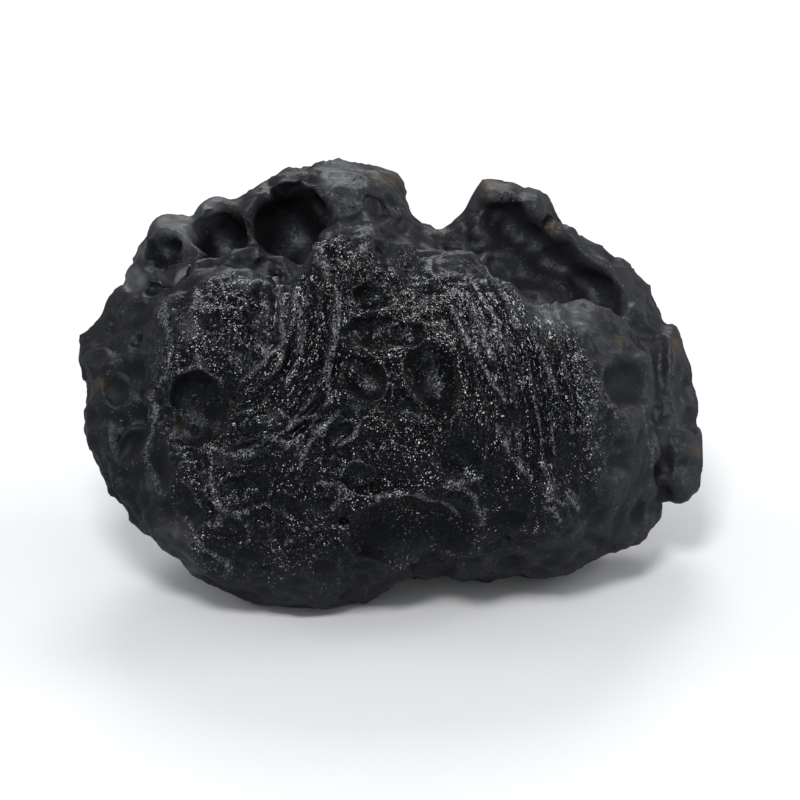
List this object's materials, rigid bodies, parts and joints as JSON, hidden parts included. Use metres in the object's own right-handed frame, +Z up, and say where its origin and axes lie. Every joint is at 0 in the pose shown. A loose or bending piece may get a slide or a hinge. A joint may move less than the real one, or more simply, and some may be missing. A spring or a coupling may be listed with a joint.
{
  "type": "tektite",
  "caption": "Lump of dark natural glass, pitted and flow-lined, with a domed show face, a valley behind it and a round notch in its back ridge.",
  "frame": {"origin": "middle of the stone's box, on the surface it rests on", "axes": "+Z up, +X along the stone's length, show face towards -Y and leaning back"},
  "size_m": [0.0451, 0.0296, 0.0265],
  "materials": {
    "tektite_glass": "near-black opaque natural glass, semi-gloss, with a rough etched grain and smoother bubble pits"
  },
  "bodies": {
    "root": {"tektite": "tektite_glass"}
  },
  "joints": []
}
